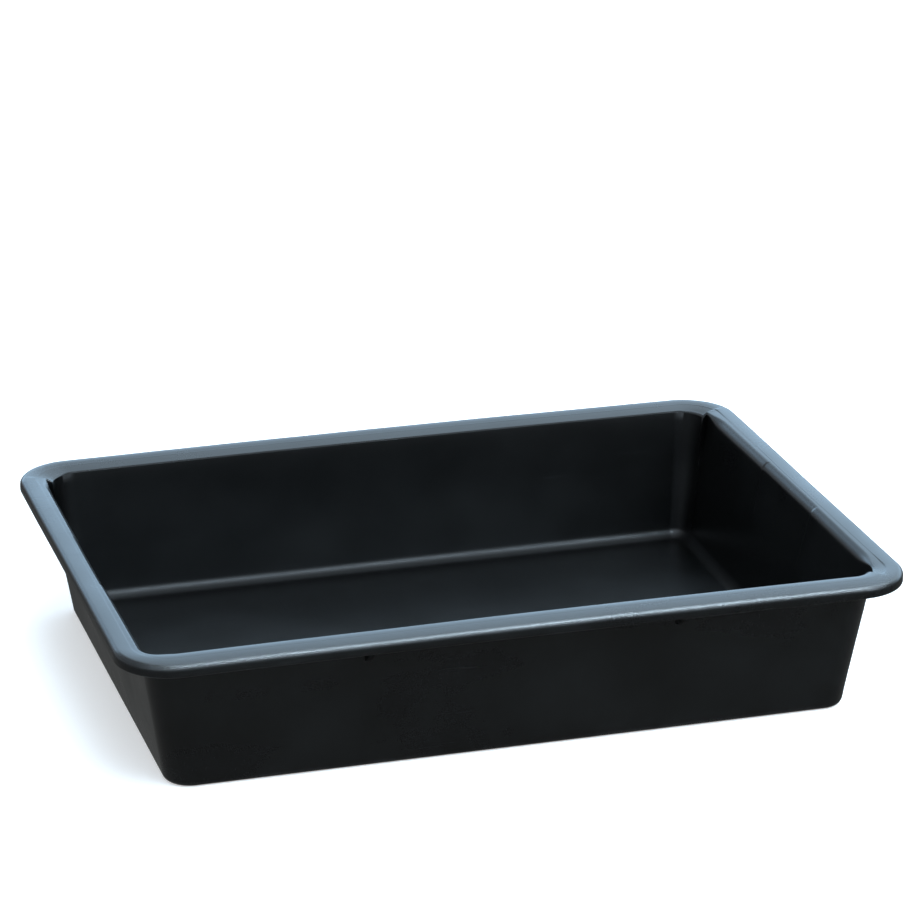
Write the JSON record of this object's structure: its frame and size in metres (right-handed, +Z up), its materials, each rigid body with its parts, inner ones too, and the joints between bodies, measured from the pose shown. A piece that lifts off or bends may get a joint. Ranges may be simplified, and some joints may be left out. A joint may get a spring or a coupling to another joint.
{
  "type": "spill containment tray",
  "caption": "Open one-piece plastic sump tray with leaning walls, rounded corners and a wide turned-down rim, for catching leaks from cans stood inside it.",
  "frame": {"origin": "middle of the underside, on the surface the tray stands on", "axes": "+X along the length, +Y across the width towards the rear long side, +Z up out of the open mouth"},
  "size_m": [0.65, 0.48, 0.123],
  "materials": {
    "black_polyethylene": "satin moulded surface with a fine grain, brighter at grazing angles and lightly scuffed on the rim and floor"
  },
  "bodies": {
    "root": {"tray": "black_polyethylene"}
  },
  "joints": []
}
